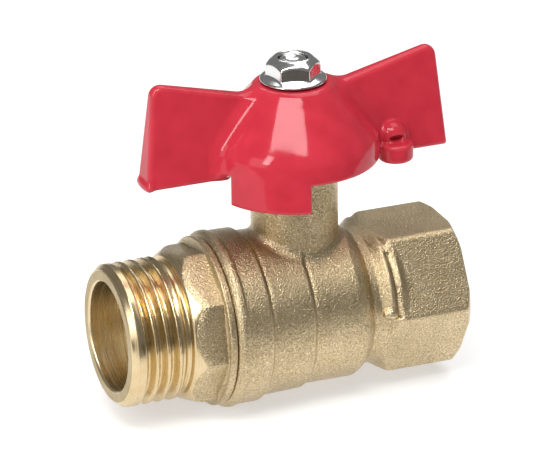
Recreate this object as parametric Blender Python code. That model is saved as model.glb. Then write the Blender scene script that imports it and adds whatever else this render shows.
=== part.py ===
"""Small brass ball valve, male thread to female thread, with a butterfly handle in the open position.

Everything is laid out round the ball centre: +X runs along the pipe towards the female end, +Z up the stem.
The last lines lift it so that the belly stands on z = 0. Sizes below are in millimetres.
"""

import math

import bmesh
import bpy
from mathutils import Vector

for old in list(bpy.data.objects):
    bpy.data.objects.remove(old, do_unlink=True)

MM = 0.001
GAP = 0.3  # between pieces that touch or rest on each other
SEAL_GAP = 0.2  # round the small stem rings
SEGMENTS = 40  # round the pipe axis
SMALL_SEGMENTS = 28  # round the stem axis

# ball and seats
BALL_R = 8.75
BALL_WALL = 3.75  # what the port leaves of the ball, at its middle
CHAMBER_SLACK = 0.55
SEAT_INSET = 0.85
PORT_R = BALL_R - BALL_WALL
PASSAGE_R = PORT_R + GAP
CHAMBER_R = BALL_R + CHAMBER_SLACK
SEAT_R = BALL_R - SEAT_INSET
SEAT_LIP = 1.27  # what the seat ring reaches out past the ball at its front face
SEAT_LENGTH = 2.6
SEAT_FRONT_X = math.sqrt(BALL_R**2 - (SEAT_R - SEAT_LIP) ** 2)
SEAT_BACK_X = SEAT_FRONT_X + SEAT_LENGTH
POCKET_R = SEAT_R + GAP
SLOT_FLOOR_Z = BALL_R - 2.05
SLOT_WIDTH = 3.6

# screwed joint of connector and body
SPIGOT_WALL = 2.1
JOINT_LENGTH = 5.5
SPIGOT_R = SEAT_R + SPIGOT_WALL
JOINT_BORE_R = SPIGOT_R + GAP
SPIGOT_END_X = -(SEAT_FRONT_X - 0.1)
RIM_X = -(SEAT_BACK_X + JOINT_LENGTH)
JOINT_RING_X = RIM_X + 1.8
JOINT_RING_R = 0.5

# female end
FEMALE_MINOR_R = 7.45
FEMALE_THREAD_DEPTH = 0.85
FEMALE_PITCH = 1.337
FEMALE_TURNS = 5
FEMALE_LENGTH = 12.0
HEX_WALL = 2.2
WAIST_LENGTH = 2.9
HEX_ACROSS = 2 * (FEMALE_MINOR_R + FEMALE_THREAD_DEPTH + HEX_WALL)
HEX_START_X = SEAT_BACK_X + WAIST_LENGTH
FEMALE_FACE_X = HEX_START_X + FEMALE_LENGTH

# outside of the body
RING_WALL, BAND_WALL, SHOULDER_WALL, WAIST_WALL = 2.75, 3.05, 2.35, 2.1
RING_R = JOINT_BORE_R + RING_WALL  # first band, beside the collar
BAND_R = CHAMBER_R + BAND_WALL
SHOULDER_R = CHAMBER_R + SHOULDER_WALL
WAIST_R = POCKET_R + WAIST_WALL
RING_END_X = RIM_X + 5.2
BAND_END_X = RIM_X + 12.2
SHOULDER_END_X = SEAT_BACK_X - 1.9

# collar and male end
COLLAR_ACROSS = 21.9
COLLAR_TURN = -11.3  # degrees that one corner sits below the horizontal, seen from the front
COLLAR_LENGTH = 5.3
MALE_LENGTH = 9.4
FLANGE_WALL = 2.15
FLANGE_X = (RIM_X - 1.2, RIM_X - GAP - 0.05)
FLANGE_R = JOINT_BORE_R + FLANGE_WALL
COLLAR_END_X = RIM_X - 0.7
COLLAR_START_X = COLLAR_END_X - COLLAR_LENGTH
MALE_FACE_X = COLLAR_START_X - MALE_LENGTH
MALE_CREST_R = 10.48
MALE_THREAD_DEPTH = 1.16
MALE_PITCH = 1.814
MALE_TURNS = 4
MALE_FACE_R = 9.6
MALE_BORE_R = 8.03

# stem and its seals
STEM_R = 3.25
FOOT_LEDGE = 1.35
PACKING_WIDTH = 1.35
PACKING_HEIGHT = 2.5
NECK_WALL = 1.46
GLAND_RECESS = 5.9
STEM_BORE_R = STEM_R + GAP
FOOT_R = STEM_R + FOOT_LEDGE
FOOT_Z = (BALL_R + 0.85, BALL_R + 2.25)
TANG_LENGTH = 8.0
WASHER_Z = (FOOT_Z[1] + GAP, FOOT_Z[1] + GAP + 0.6)
FOOT_POCKET_R = FOOT_R + 0.4
FOOT_POCKET_Z = WASHER_Z[1] + GAP
RING_ZS = (FOOT_POCKET_Z + 1.5, FOOT_POCKET_Z + 3.7)
RING_SECTION_R = 0.42
PACKING_POCKET_R = STEM_BORE_R + PACKING_WIDTH
PACKING_Z = (RING_ZS[1] + 2.0, RING_ZS[1] + 2.0 + PACKING_HEIGHT)
NECK_R = PACKING_POCKET_R + NECK_WALL
NECK_TOP_Z = PACKING_Z[1] + GLAND_RECESS
GLAND_Z = (PACKING_Z[1] + GAP, NECK_TOP_Z + GAP, NECK_TOP_Z + 2.4)
GLAND_ACROSS = 2 * PACKING_POCKET_R - 0.8
FLATS_ACROSS = 2 * STEM_R - 2.1
STEM_THREAD_R = 2.0

# handle
HUB_R = 12.46
HUB_WALL = 1.36
HUB_HEAD = 5.7
SKIRT_DEPTH = 4.3
SKIRT_WALL = 3.56
WING_REACH = 10.94
WING_RISE = 2.65
HUB_CROWN_R = 5.2
HUB_RIM_Z = NECK_TOP_Z - 3.0
HUB_HOLLOW_R = HUB_R - HUB_WALL
HUB_HOLLOW_Z = NECK_TOP_Z + 0.5
HUB_STEP_R = GLAND_ACROSS / 2 / math.cos(math.pi / 6) + 1.0
HUB_STEP_Z = GLAND_Z[2] + 0.5
HUB_TOP_Z = HUB_STEP_Z + HUB_HEAD
SKIRT_Z = HUB_RIM_Z - SKIRT_DEPTH
SKIRT_INNER_R = HUB_R - SKIRT_WALL
SKIRT_ARC = (-70.0, -10.0)  # degrees about the stem from the front, towards +X
TRAVEL = 90.0
STOP_R = HUB_HOLLOW_R - 0.6
STOP_Z = (HUB_RIM_Z + 0.7, NECK_TOP_Z - 0.3)
STOP_SLACK = 2.0  # degrees between skirt and stop
WING_TIP_X = HUB_R + WING_REACH
WING_FLOOR_Z = HUB_RIM_Z - 1.2
WING_TOP_Z = HUB_TOP_Z + WING_RISE
WING_THICK = (1.7, 4.6)  # at the top and at the bottom
LUG_AT = (HUB_R + 2.04, -3.3)
LUG_R = 2.65
LUG_Z = (HUB_RIM_Z - 1.6, HUB_RIM_Z + 1.1)

# handle nut
NUT_Z = HUB_TOP_Z + GAP
NUT_FLANGE_R = HUB_CROWN_R - 0.35
NUT_ACROSS = 7.0
NUT_HEIGHT = 3.55
NUT_TOP_Z = NUT_Z + NUT_HEIGHT
NUT_TURN = 12.3  # degrees that one corner is turned from the front
STEM_TOP_Z = NUT_TOP_Z - 0.35


def new_object(name, bm):
    mesh = bpy.data.meshes.new(name)
    bmesh.ops.recalc_face_normals(bm, faces=bm.faces)
    bm.to_mesh(mesh)
    bm.free()
    made = bpy.data.objects.new(name, mesh)
    bpy.context.scene.collection.objects.link(made)
    return made


def turned(name, profile, axis="Z", segments=SEGMENTS, start=0.0):
    """A solid of revolution. The profile is a list of (height, radius); radius 0 closes it on the axis."""
    bm = bmesh.new()
    rings = []
    for height, radius in profile:
        if radius < 1e-6:
            spots = [(0.0, 0.0)]
        else:
            angles = [math.radians(start) + math.tau * i / segments for i in range(segments)]
            spots = [(radius * math.cos(a), radius * math.sin(a)) for a in angles]
        if axis == "X":
            rings.append([bm.verts.new(Vector((height, u, v)) * MM) for u, v in spots])
        else:
            rings.append([bm.verts.new(Vector((u, v, height)) * MM) for u, v in spots])
    for k, ring in enumerate(rings):
        after = rings[(k + 1) % len(rings)]
        if len(ring) == 1 and len(after) == 1:
            continue
        for i in range(segments):
            j = (i + 1) % segments
            if len(ring) == 1:
                bm.faces.new((ring[0], after[j], after[i]))
            elif len(after) == 1:
                bm.faces.new((ring[i], ring[j], after[0]))
            else:
                bm.faces.new((ring[i], ring[j], after[j], after[i]))
    return new_object(name, bm)


def rod(name, low, high, radius, axis="Z", segments=SEGMENTS, start=0.9):
    return turned(name, [(low, 0), (low, radius), (high, radius), (high, 0)], axis, segments, start)


def tube(name, low, high, inner, outer, axis="Z", segments=SEGMENTS):
    return turned(name, [(low, inner), (low, outer), (high, outer), (high, inner)], axis, segments)


def torus(name, height, radius, section, axis="Z", segments=SEGMENTS, around=8):
    steps = [math.tau * k / around for k in range(around)]
    profile = [(height + section * math.sin(s), radius + section * math.cos(s)) for s in steps]
    return turned(name, profile, axis, segments)


def prism(name, outline, low, high):
    """Straight walls over an outline of (x, y) points, from z = low to z = high."""
    bm = bmesh.new()
    bottom = [bm.verts.new(Vector((x, y, low)) * MM) for x, y in outline]
    top = [bm.verts.new(Vector((x, y, high)) * MM) for x, y in outline]
    bm.faces.new(bottom)
    bm.faces.new(top)
    for i in range(len(outline)):
        j = (i + 1) % len(outline)
        bm.faces.new((bottom[i], bottom[j], top[j], top[i]))
    return new_object(name, bm)


def block(name, low, high):
    outline = [(low[0], low[1]), (high[0], low[1]), (high[0], high[1]), (low[0], high[1])]
    return prism(name, outline, low[2], high[2])


def sector(name, inner, outer, first, last, low, high, steps):
    """Part of a ring; the angles run from the front (-Y) towards +X, in degrees."""
    turns = [math.radians(first + (last - first) * k / steps) for k in range(steps + 1)]
    outline = [(outer * math.sin(t), -outer * math.cos(t)) for t in turns]
    outline += [(inner * math.sin(t), -inner * math.cos(t)) for t in reversed(turns)]
    return prism(name, outline, low, high)


def combine(target, other, how):
    """Adds or cuts another object and removes it."""
    step = target.modifiers.new(how, "BOOLEAN")
    step.operation = how
    step.solver = "EXACT"
    step.object = other
    bpy.context.view_layer.update()
    graph = bpy.context.evaluated_depsgraph_get()
    result = bpy.data.meshes.new_from_object(target.evaluated_get(graph))
    target.modifiers.clear()
    target.data = result
    bpy.data.objects.remove(other, do_unlink=True)
    return target


def add(target, other):
    return combine(target, other, "UNION")


def cut(target, other):
    return combine(target, other, "DIFFERENCE")


def keep_common(target, other):
    return combine(target, other, "INTERSECT")


def thread_rings(start, pitch, turns, crest, root):
    """Profile points of a ridged cylinder: each turn is one ridge with flat crest and root."""
    points = []
    for k in range(turns):
        x = start + k * pitch
        points += [
            (x, root),
            (x + 0.38 * pitch, crest),
            (x + 0.50 * pitch, crest),
            (x + 0.88 * pitch, root),
        ]
    return points


def polygon_bar(name, sides, across, corner_turn, low, high, chamfer_low, chamfer_high):
    """A bar along X with flat sides, its corners turned down at both ends. A chamfer is (radius, length)."""
    corner = across / 2 / math.cos(math.pi / sides)
    ends = [(low - 1, 0), (low - 1, corner), (high + 1, corner), (high + 1, 0)]
    bar = turned(name, ends, "X", sides, corner_turn)
    outer = corner + 0.4
    turn = turned(
        name + "_turn",
        [
            (low, 0),
            (low, chamfer_low[0]),
            (low + chamfer_low[1], outer),
            (high - chamfer_high[1], outer),
            (high, chamfer_high[0]),
            (high, 0),
        ],
        "X",
        start=1.1,
    )
    return keep_common(bar, turn)


def build_body():
    outer = [
        (RIM_X, 0),
        (RIM_X, RING_R - 0.4),
        (RIM_X + 0.7, RING_R),
        (RING_END_X, RING_R),
        (RING_END_X + 0.4, BAND_R - 0.1),
        (RING_END_X + 0.8, BAND_R),
        (BAND_END_X, BAND_R),
        (BAND_END_X + 0.5, SHOULDER_R - 0.1),
        (BAND_END_X + 0.9, SHOULDER_R),
        (SHOULDER_END_X, SHOULDER_R),
        (SHOULDER_END_X + 0.9, SHOULDER_R - 0.25),
        (SHOULDER_END_X + 1.7, SHOULDER_R - 0.8),
        (SHOULDER_END_X + 2.3, WAIST_R),
        (HEX_START_X - 1.7, WAIST_R),
        (HEX_START_X - 1.3, WAIST_R + 0.6),
        (HEX_START_X - 0.5, WAIST_R + 0.6),
        (HEX_START_X - 0.2, WAIST_R),
        (HEX_START_X + 1.3, WAIST_R - 0.2),
        (HEX_START_X + 1.3, 0),
    ]
    body = turned("valve_body", outer, "X", start=2.3)
    hexagon = polygon_bar(
        "hexagon", 6, HEX_ACROSS, 0, HEX_START_X, FEMALE_FACE_X,
        (HEX_ACROSS / 2 + 0.25, 0.9), (HEX_ACROSS / 2 + 0.45, 0.75),
    )
    add(body, hexagon)
    add(body, rod("neck", BALL_R - 1.0, NECK_TOP_Z, NECK_R, segments=SMALL_SEGMENTS))
    stop_from = SKIRT_ARC[1] + STOP_SLACK
    stop_to = SKIRT_ARC[0] - TRAVEL - STOP_SLACK + 360
    add(body, sector("stop", 5.0, STOP_R, stop_from, stop_to, STOP_Z[0], STOP_Z[1], 20))
    hollow = [
        (RIM_X - 1, 0),
        (RIM_X - 1, JOINT_BORE_R),
        (SPIGOT_END_X + GAP, JOINT_BORE_R),
        (SPIGOT_END_X + GAP, CHAMBER_R),
        (SEAT_FRONT_X - 0.4, CHAMBER_R),
        (SEAT_FRONT_X - 0.4, POCKET_R),
        (SEAT_BACK_X + GAP, POCKET_R),
        (SEAT_BACK_X + GAP, PASSAGE_R),
        (HEX_START_X + 2.0, PASSAGE_R),
        (HEX_START_X + 2.6, FEMALE_MINOR_R),
    ]
    first = FEMALE_FACE_X - 1.6 - FEMALE_TURNS * FEMALE_PITCH
    crest = FEMALE_MINOR_R + FEMALE_THREAD_DEPTH
    hollow += thread_rings(first, FEMALE_PITCH, FEMALE_TURNS, crest, FEMALE_MINOR_R)
    hollow += [
        (FEMALE_FACE_X - 1.3, FEMALE_MINOR_R),
        (FEMALE_FACE_X, crest + 0.45),
        (FEMALE_FACE_X + 1, crest + 0.45),
        (FEMALE_FACE_X + 1, 0),
    ]
    cut(body, turned("hollow", hollow, "X", start=0.7))
    bore = [
        (BALL_R - 3.0, 0),
        (BALL_R - 3.0, FOOT_POCKET_R),
        (FOOT_POCKET_Z, FOOT_POCKET_R),
        (FOOT_POCKET_Z, STEM_BORE_R),
        (PACKING_Z[0] - GAP, STEM_BORE_R),
        (PACKING_Z[0] - GAP, PACKING_POCKET_R),
        (NECK_TOP_Z + 1, PACKING_POCKET_R),
        (NECK_TOP_Z + 1, 0),
    ]
    return cut(body, turned("bore", bore, "Z", SMALL_SEGMENTS, 1.9))


def build_connector():
    root = MALE_CREST_R - MALE_THREAD_DEPTH
    start = MALE_FACE_X + 1.5
    outer = [
        (MALE_FACE_X, 0),
        (MALE_FACE_X, MALE_FACE_R),
        (MALE_FACE_X + 0.8, MALE_CREST_R),
        (start - 0.3, MALE_CREST_R),
    ]
    outer += thread_rings(start, MALE_PITCH, MALE_TURNS, MALE_CREST_R, root)
    outer += [
        (COLLAR_START_X - 0.5, root),
        (COLLAR_START_X + 0.5, root + 0.3),
        (RIM_X - GAP, root + 0.3),
        (RIM_X - GAP, SPIGOT_R - 0.2),
        (JOINT_RING_X - 1.3, SPIGOT_R),
        (JOINT_RING_X - 0.9, SPIGOT_R),
        (JOINT_RING_X - 0.9, SPIGOT_R - 1.1),
        (JOINT_RING_X + 0.9, SPIGOT_R - 1.1),
        (JOINT_RING_X + 0.9, SPIGOT_R),
        (SPIGOT_END_X, SPIGOT_R),
        (SPIGOT_END_X, 0),
    ]
    part = turned("end_connector", outer, "X", start=2.3)
    collar = polygon_bar(
        "collar", 8, COLLAR_ACROSS, COLLAR_TURN, COLLAR_START_X, COLLAR_END_X,
        (COLLAR_ACROSS / 2 - 0.4, 2.6), (COLLAR_ACROSS / 2 + 1.2, 0.1),
    )
    add(part, collar)
    flange = [
        (FLANGE_X[0], 0),
        (FLANGE_X[0], FLANGE_R - 0.25),
        (FLANGE_X[0] + 0.25, FLANGE_R),
        (FLANGE_X[1] - 0.15, FLANGE_R),
        (FLANGE_X[1], FLANGE_R - 0.15),
        (FLANGE_X[1], 0),
    ]
    add(part, turned("flange", flange, "X", start=3.7))
    hollow = [
        (MALE_FACE_X - 1, 0),
        (MALE_FACE_X - 1, MALE_BORE_R),
        (COLLAR_START_X + 1.8, MALE_BORE_R),
        (COLLAR_START_X + 4.4, PASSAGE_R),
        (-SEAT_BACK_X - GAP, PASSAGE_R),
        (-SEAT_BACK_X - GAP, POCKET_R),
        (SPIGOT_END_X + 1, POCKET_R),
        (SPIGOT_END_X + 1, 0),
    ]
    return cut(part, turned("hollow", hollow, "X", start=0.7))


def build_ball():
    rings = 14
    turns = [math.pi * k / rings for k in range(rings + 1)]
    profile = [(-BALL_R * math.cos(t), BALL_R * math.sin(t)) for t in turns]
    ball = turned("ball", profile, "X", 32, 2.1)
    cut(ball, rod("port", -BALL_R - 1, BALL_R + 1, PORT_R, "X", 32))
    half = SLOT_WIDTH / 2
    return cut(ball, block("slot", (-half, -BALL_R - 1, SLOT_FLOOR_Z), (half, BALL_R + 1, BALL_R + 1)))


def build_seat(name, side):
    """A ring whose inner edge follows the ball at one gap."""
    reach = BALL_R + GAP
    dish = []
    for k in range(5):
        radius = PASSAGE_R + (SEAT_R - 0.9 - PASSAGE_R) * k / 4
        dish.append((math.sqrt(reach * reach - radius * radius), radius))
    profile = [(SEAT_BACK_X, PASSAGE_R), (SEAT_BACK_X, SEAT_R), (SEAT_FRONT_X, SEAT_R)]
    profile += list(reversed(dish))
    return turned(name, [(side * x, r) for x, r in profile], "X")


def build_stem():
    profile = [(FOOT_Z[0], 0), (FOOT_Z[0], FOOT_R), (FOOT_Z[1], FOOT_R), (FOOT_Z[1], STEM_R)]
    groove_r = STEM_BORE_R - 2 * SEAL_GAP - 2 * RING_SECTION_R
    for z in RING_ZS:
        half = RING_SECTION_R + SEAL_GAP
        profile += [(z - half, STEM_R), (z - half, groove_r), (z + half, groove_r), (z + half, STEM_R)]
    profile += [
        (HUB_TOP_Z - 0.4, STEM_R),
        (HUB_TOP_Z - 0.4, STEM_THREAD_R),
        (STEM_TOP_Z - 0.4, STEM_THREAD_R),
        (STEM_TOP_Z, STEM_THREAD_R - 0.4),
        (STEM_TOP_Z, 0),
    ]
    stem = turned("stem", profile, "Z", SMALL_SEGMENTS)
    half = SLOT_WIDTH / 2 - GAP
    tang = block("tang", (-half, -TANG_LENGTH / 2, SLOT_FLOOR_Z + GAP), (half, TANG_LENGTH / 2, FOOT_Z[0] + 0.6))
    add(stem, tang)
    flat_from = HUB_STEP_Z - 0.2
    for side in (-1, 1):
        low, high = sorted((side * FLATS_ACROSS / 2, side * 5.0))
        cut(stem, block("flat", (-5, low, flat_from), (5, high, HUB_TOP_Z + 0.1)))
    return stem


def build_gland():
    gland = rod("gland_nut", GLAND_Z[0], GLAND_Z[2] - 0.2, PACKING_POCKET_R - GAP, segments=SMALL_SEGMENTS)
    corner = GLAND_ACROSS / 2 / math.cos(math.pi / 6)
    add(gland, turned("head", [(GLAND_Z[1], 0), (GLAND_Z[1], corner), (GLAND_Z[2], corner), (GLAND_Z[2], 0)],
                      "Z", 6, 30))
    return cut(gland, rod("hole", GLAND_Z[0] - 1, GLAND_Z[2] + 1, STEM_BORE_R, segments=SMALL_SEGMENTS))


def wing(side):
    """A tapered plate: thin along the top edge, thick along the bottom edge."""
    outline = [
        (4.8, WING_FLOOR_Z),
        (WING_TIP_X - 0.4, WING_FLOOR_Z),
        (WING_TIP_X - 0.1, WING_FLOOR_Z + 0.15),
        (WING_TIP_X, WING_FLOOR_Z + 0.5),
        (WING_TIP_X - 1.3, WING_TOP_Z - 1.6),
        (WING_TIP_X - 1.9, WING_TOP_Z - 0.5),
        (WING_TIP_X - 3.0, WING_TOP_Z),
        (WING_TIP_X - 4.2, WING_TOP_Z - 0.15),
        (6.4, WING_TOP_Z - 3.2),
        (4.8, WING_TOP_Z - 3.6),
    ]
    bm = bmesh.new()
    loops = []
    for face in (-1, 1):
        loop = []
        for x, z in outline:
            share = (WING_TOP_Z - z) / (WING_TOP_Z - WING_FLOOR_Z)
            half = (WING_THICK[0] + (WING_THICK[1] - WING_THICK[0]) * share) / 2
            loop.append(bm.verts.new(Vector((side * x, face * half, z)) * MM))
        loops.append(loop)
        bm.faces.new(loop)
    for i in range(len(outline)):
        j = (i + 1) % len(outline)
        bm.faces.new((loops[0][i], loops[0][j], loops[1][j], loops[1][i]))
    return new_object("wing", bm)


def build_handle():
    lean = HUB_R - HUB_CROWN_R
    dome = [
        (SKIRT_Z, 0),
        (SKIRT_Z, HUB_R - 0.3),
        (SKIRT_Z + 0.3, HUB_R),
        (HUB_RIM_Z + 2.1, HUB_R),
        (HUB_RIM_Z + 3.5, HUB_R - 0.04 * lean),
        (HUB_TOP_Z - 6.5, HUB_R - 0.20 * lean),
        (HUB_TOP_Z - 4.3, HUB_R - 0.44 * lean),
        (HUB_TOP_Z - 2.1, HUB_R - 0.69 * lean),
        (HUB_TOP_Z - 0.6, HUB_R - 0.88 * lean),
        (HUB_TOP_Z, HUB_CROWN_R),
        (HUB_TOP_Z, 0),
    ]
    handle = turned("handle", dome, "Z", SEGMENTS, 1.7)
    free_from, free_to = SKIRT_ARC[1], SKIRT_ARC[0] + 360
    cut(handle, sector("rim", 7.0, HUB_R + 2, free_from, free_to, SKIRT_Z - 1, HUB_RIM_Z, 40))
    add(handle, wing(1))
    add(handle, wing(-1))
    lug = rod("lug", LUG_Z[0], LUG_Z[1], LUG_R, segments=20)
    for vert in lug.data.vertices:
        vert.co += Vector((LUG_AT[0], LUG_AT[1], 0)) * MM
    add(handle, lug)
    low, high = LUG_Z[1] - 1, LUG_Z[1] + 3.4
    mound = turned("mound", [(low, 0), (low, 2.2), (high - 1.4, 2.2), (high - 0.4, 1.5), (high, 0)], "Z", 20)
    for vert in mound.data.vertices:
        vert.co += Vector((LUG_AT[0], LUG_AT[1] + 1.5, 0)) * MM
    add(handle, mound)
    hollow = [
        (SKIRT_Z - 2, 0),
        (SKIRT_Z - 2, SKIRT_INNER_R),
        (HUB_HOLLOW_Z, SKIRT_INNER_R),
        (HUB_HOLLOW_Z, HUB_STEP_R),
        (HUB_STEP_Z, HUB_STEP_R),
        (HUB_STEP_Z, 0),
    ]
    cut(handle, turned("hollow", hollow, "Z", SEGMENTS, 3.1))
    cut(handle, sector("sweep", 7.0, HUB_HOLLOW_R, free_from, free_to, SKIRT_Z - 1.5, HUB_HOLLOW_Z - 0.2, 40))
    hole = rod("hole", HUB_STEP_Z - 1, HUB_TOP_Z + 1, STEM_BORE_R, segments=SMALL_SEGMENTS)
    half = FLATS_ACROSS / 2 + GAP
    keep_common(hole, block("flats", (-9, -half, HUB_STEP_Z - 2), (9, half, HUB_TOP_Z + 2)))
    return cut(handle, hole)


def build_nut():
    corner = NUT_ACROSS / 2 / math.cos(math.pi / 6)
    nut = turned("handle_nut", [(NUT_Z + 0.2, 0), (NUT_Z + 0.2, corner), (NUT_TOP_Z + 1, corner),
                                (NUT_TOP_Z + 1, 0)], "Z", 6, NUT_TURN - 90)
    crown = turned("crown", [(NUT_Z, 0), (NUT_Z, corner + 1), (NUT_TOP_Z - 0.75, corner + 1),
                             (NUT_TOP_Z, NUT_ACROSS / 2 - 0.6), (NUT_TOP_Z, 0)], "Z", SMALL_SEGMENTS)
    keep_common(nut, crown)
    flange = turned("flange", [(NUT_Z, 0), (NUT_Z, NUT_FLANGE_R - 0.15), (NUT_Z + 0.45, NUT_FLANGE_R),
                               (NUT_Z + 1.1, NUT_ACROSS / 2 + 0.3), (NUT_Z + 1.1, 0)], "Z", SMALL_SEGMENTS)
    add(nut, flange)
    return cut(nut, rod("hole", NUT_Z - 1, NUT_TOP_Z + 1, STEM_THREAD_R + GAP, segments=SMALL_SEGMENTS))


def coat(obj, color, metallic, roughness, smooth=True):
    material = bpy.data.materials.new("mat_" + obj.name)
    material.use_nodes = True
    shader = material.node_tree.nodes["Principled BSDF"]
    shader.inputs["Base Color"].default_value = (*color, 1.0)
    shader.inputs["Metallic"].default_value = metallic
    shader.inputs["Roughness"].default_value = roughness
    obj.data.materials.clear()
    obj.data.materials.append(material)
    if smooth:
        obj.data.shade_smooth()
        obj.data.set_sharp_from_angle(angle=math.radians(30))


BRASS = (0.62, 0.48, 0.24)
STEM_RING_R = STEM_BORE_R - SEAL_GAP - RING_SECTION_R
parts = []


def place(obj, color, metallic, roughness):
    coat(obj, color, metallic, roughness)
    parts.append(obj)


place(build_body(), BRASS, 1.0, 0.5)
place(build_connector(), (0.72, 0.55, 0.26), 1.0, 0.3)
place(build_ball(), (0.8, 0.8, 0.82), 1.0, 0.1)
place(build_seat("seat_ring_inlet", -1), (0.9, 0.9, 0.88), 0.0, 0.5)
place(build_seat("seat_ring_outlet", 1), (0.9, 0.9, 0.88), 0.0, 0.5)
place(torus("joint_o_ring", JOINT_RING_X, JOINT_BORE_R - SEAL_GAP - JOINT_RING_R, JOINT_RING_R, "X"),
      (0.02, 0.02, 0.02), 0.0, 0.6)
place(build_stem(), BRASS, 1.0, 0.35)
place(tube("stem_thrust_washer", WASHER_Z[0], WASHER_Z[1], STEM_BORE_R, FOOT_R, segments=SMALL_SEGMENTS),
      (0.9, 0.9, 0.88), 0.0, 0.5)
place(torus("stem_o_ring_lower", RING_ZS[0], STEM_RING_R, RING_SECTION_R, "Z", SMALL_SEGMENTS, 8),
      (0.02, 0.02, 0.02), 0.0, 0.6)
place(torus("stem_o_ring_upper", RING_ZS[1], STEM_RING_R, RING_SECTION_R, "Z", SMALL_SEGMENTS, 8),
      (0.02, 0.02, 0.02), 0.0, 0.6)
place(tube("stem_packing", PACKING_Z[0], PACKING_Z[1], STEM_BORE_R, PACKING_POCKET_R - GAP,
           segments=SMALL_SEGMENTS), (0.9, 0.9, 0.88), 0.0, 0.5)
place(build_gland(), BRASS, 1.0, 0.35)
place(build_handle(), (0.6, 0.02, 0.06), 0.0, 0.25)
place(build_nut(), (0.8, 0.8, 0.82), 1.0, 0.15)

# The origin of the whole valve is the middle of its length, under the belly.
middle_x = (MALE_FACE_X + max(FEMALE_FACE_X, WING_TIP_X)) / 2
for part in parts:
    part.location = Vector((-middle_x, 0.0, RING_R)) * MM
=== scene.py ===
"""The looks of a small brass ball valve with a red butterfly handle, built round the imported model.

Lengths below are in millimetres from the ball centre unless a line says otherwise: +X runs along the
pipe towards the female end, +Z up the stem. Most visible pieces are drawn as fields, functions that are
negative inside the solid, and skin() turns a field into a mesh.
"""
import math

import bpy
import numpy as np
from mathutils import Matrix, Vector


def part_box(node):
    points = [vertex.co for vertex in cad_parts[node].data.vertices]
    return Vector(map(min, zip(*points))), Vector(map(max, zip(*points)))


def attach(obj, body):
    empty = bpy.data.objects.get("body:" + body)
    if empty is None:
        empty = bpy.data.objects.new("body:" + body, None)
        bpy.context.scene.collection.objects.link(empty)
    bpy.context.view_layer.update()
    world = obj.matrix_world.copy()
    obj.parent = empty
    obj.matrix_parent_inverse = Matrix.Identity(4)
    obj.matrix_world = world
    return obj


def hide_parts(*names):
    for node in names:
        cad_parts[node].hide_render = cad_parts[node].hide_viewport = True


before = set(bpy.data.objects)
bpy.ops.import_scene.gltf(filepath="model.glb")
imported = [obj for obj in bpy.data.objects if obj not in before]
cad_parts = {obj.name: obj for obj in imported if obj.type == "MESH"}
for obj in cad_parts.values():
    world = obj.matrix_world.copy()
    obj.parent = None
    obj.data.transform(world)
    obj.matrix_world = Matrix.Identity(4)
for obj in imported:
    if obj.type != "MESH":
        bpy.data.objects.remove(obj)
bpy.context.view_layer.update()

MM = 0.001
ball_low, ball_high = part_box("ball")
CENTRE = (ball_low + ball_high) / 2


def span(node):
    low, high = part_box(node)
    return (low - CENTRE) / MM, (high - CENTRE) / MM


body_low, body_high = span("valve_body")
connector_low, connector_high = span("end_connector")
handle_low, handle_high = span("handle")
nut_low, nut_high = span("handle_nut")
stem_low, stem_high = span("stem")
seat_low, seat_high = span("seat_ring_outlet")
gland_high = span("gland_nut")[1]
packing_low, packing_high = span("stem_packing")
washer_low, washer_high = span("stem_thrust_washer")

FINE = 1.0  # coarser meshes while trying things
GAP = 0.3  # between pieces that touch
EDGE_REACH = 0.35  # how far round a point the bend of the surface is measured

RIM_X = body_low.x
FEMALE_FACE_X = body_high.x
RING_R = body_high.y
NECK_TOP_Z = body_high.z
MALE_FACE_X = connector_low.x
SPIGOT_END_X = connector_high.x
BALL_R = (ball_high.z - ball_low.z) / (2 * MM)


# --- fields ---------------------------------------------------------------------------------------


def round_cut(a, b, radius):
    """What is in both, its edge rounded."""
    edge = np.hypot(np.maximum(a + radius, 0), np.maximum(b + radius, 0))
    return np.minimum(np.maximum(a, b), -radius) + edge


def round_join(a, b, radius):
    """What is in either, the inner corner filled with a fillet."""
    corner = np.hypot(np.maximum(radius - a, 0), np.maximum(radius - b, 0))
    return np.maximum(np.minimum(a, b), radius) - corner


def outline(stations, soften):
    """A softened round outline through (place, radius) stations, as a field of the place and the radius."""
    step = 0.02
    start, stop = stations[0][0] - 2, stations[-1][0] + 2
    places = np.arange(start, stop, step)
    radii = np.interp(places, [p for p, _ in stations], [r for _, r in stations])
    width = max(int(soften / step), 1)
    window = np.hanning(2 * width + 1)
    padded = np.pad(radii, width, mode="edge")
    radii = np.convolve(padded, window / window.sum(), mode="valid")
    scale = 1 / np.hypot(1, np.gradient(radii, step))

    def distance(place, radius):
        return (radius - np.interp(place, places, radii)) * np.interp(place, places, scale)

    return distance


def wedge(x, y, first, last):
    """Inside between two angles, in degrees from the front (-Y) towards +X, under half a turn apart."""
    a, b = math.radians(first), math.radians(last)
    return np.maximum(x * math.cos(b) + y * math.sin(b), -(x * math.cos(a) + y * math.sin(a)))


def prism_sides(u, v, across, sides, turn, radius):
    """A regular polygon with rounded corners; turn is one corner's angle in degrees from +u towards +v."""
    slice_angle = math.tau / sides
    angle = np.arctan2(v, u) - math.radians(turn) - slice_angle / 2
    angle = angle - slice_angle * np.round(angle / slice_angle)
    reach = np.hypot(u, v)
    along, off = reach * np.cos(angle), np.abs(reach * np.sin(angle))
    apothem = across / 2
    half = (apothem - radius) * math.tan(slice_angle / 2)
    beyond = np.maximum(off - half, 0)
    out = along - (apothem - radius)
    return np.where(out > 0, np.hypot(out, beyond), np.maximum(out, -radius * 3)) - radius


def helix(x, angle, start, pitch):
    """How far a point is along one turn of a right-handed thread, from 0 to 1."""
    phase = (x - start) / pitch + angle / math.tau
    return phase - np.floor(phase)


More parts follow.
